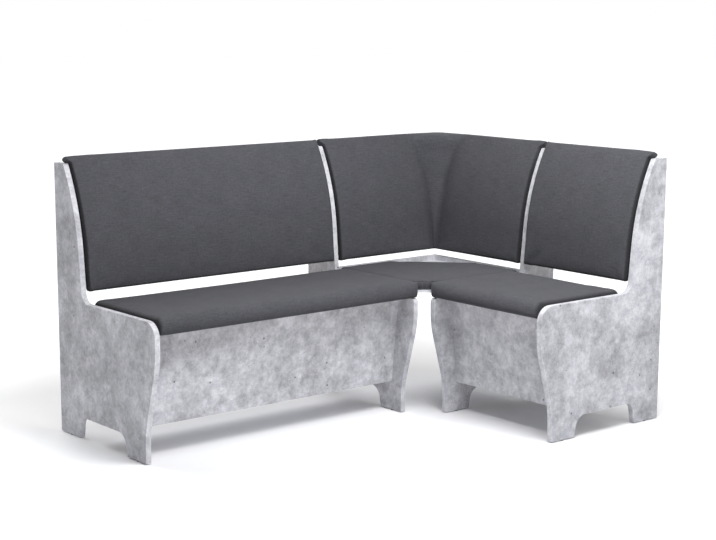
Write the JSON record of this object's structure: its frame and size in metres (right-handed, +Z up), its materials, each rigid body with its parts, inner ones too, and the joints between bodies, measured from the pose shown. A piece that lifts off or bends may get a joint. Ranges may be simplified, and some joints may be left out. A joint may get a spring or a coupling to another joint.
{
  "type": "upholstered corner bench",
  "caption": "L-shaped upholstered banquette with shaped panel sides, leaning padded backs, a corner seat and lift-up seats over storage chests.",
  "frame": {"origin": "on the floor, under the middle of the bounding box", "axes": "+X along the long bench towards the corner, +Y towards the wall behind the long bench, +Z up"},
  "size_m": [1.655, 1.103, 0.8999],
  "materials": {
    "laminate": "matt melamine with a cast concrete pattern on chipboard",
    "edge_band": "pale matt edge band",
    "upholstery": "charcoal woven cloth over foam",
    "plywood": "bent plywood, clear",
    "seat_board": "pale melamine on chipboard",
    "batten": "planed softwood",
    "hinge_steel": "zinc plated",
    "bracket_steel": "zinc plated",
    "glide": "black moulded plastic"
  },
  "bodies": {
    "bench_base": {"back_board_long": "plywood", "back_board_short": "plywood", "back_cleat_long_corner": "batten", "back_cleat_long_inner": "batten", "back_cleat_long_outer": "batten", "back_cleat_short_corner": "batten", "back_cleat_short_inner": "batten", "back_cleat_short_outer": "batten", "back_pad_long": "upholstery", "back_pad_short": "upholstery", "chest_floor_long": "seat_board", "chest_floor_short": "seat_board", "corner_back_board_long": "plywood", "corner_back_board_short": "plywood", "corner_back_pad": "upholstery", "corner_brackets": "bracket_steel", "corner_rear_board_long": "laminate", "corner_rear_board_short": "laminate", "corner_seat_board": "seat_board", "corner_seat_cleat_long": "batten", "corner_seat_cleat_short": "batten", "corner_seat_pad": "upholstery", "floor_cleat_long_inner": "batten", "floor_cleat_long_outer": "batten", "floor_cleat_short_inner": "batten", "floor_cleat_short_outer": "batten", "front_panel_long": "laminate", "front_panel_short": "laminate", "glides": "glide", "hinge_fixed_leaf_long": "hinge_steel", "hinge_fixed_leaf_short": "hinge_steel", "hinge_pin_long": "hinge_steel", "hinge_pin_short": "hinge_steel", "inner_edge_band_long": "edge_band", "inner_edge_band_short": "edge_band", "inner_side_long": "laminate", "inner_side_short": "laminate", "outer_edge_band_long": "edge_band", "outer_edge_band_short": "edge_band", "outer_side_long": "laminate", "outer_side_short": "laminate", "rear_board_long": "laminate", "rear_board_short": "laminate"},
    "seat_lid_long": {"seat_board_long": "seat_board", "seat_pad_long": "upholstery", "seat_batten_long": "batten", "hinge_moving_leaf_long": "hinge_steel"},
    "seat_lid_short": {"seat_board_short": "seat_board", "seat_pad_short": "upholstery", "seat_batten_short": "batten", "hinge_moving_leaf_short": "hinge_steel"}
  },
  "joints": [
    {"name": "lid_hinge_long", "type": "hinge", "parent": "bench_base", "child": "seat_lid_long", "pos_m": [0, 0.3674, 0.4184], "axis": [-1, 0, 0], "range_deg": [0, 56]},
    {"name": "lid_hinge_short", "type": "hinge", "parent": "bench_base", "child": "seat_lid_short", "pos_m": [0.6434, 0, 0.4184], "axis": [0, 1, 0], "range_deg": [0, 56]}
  ]
}
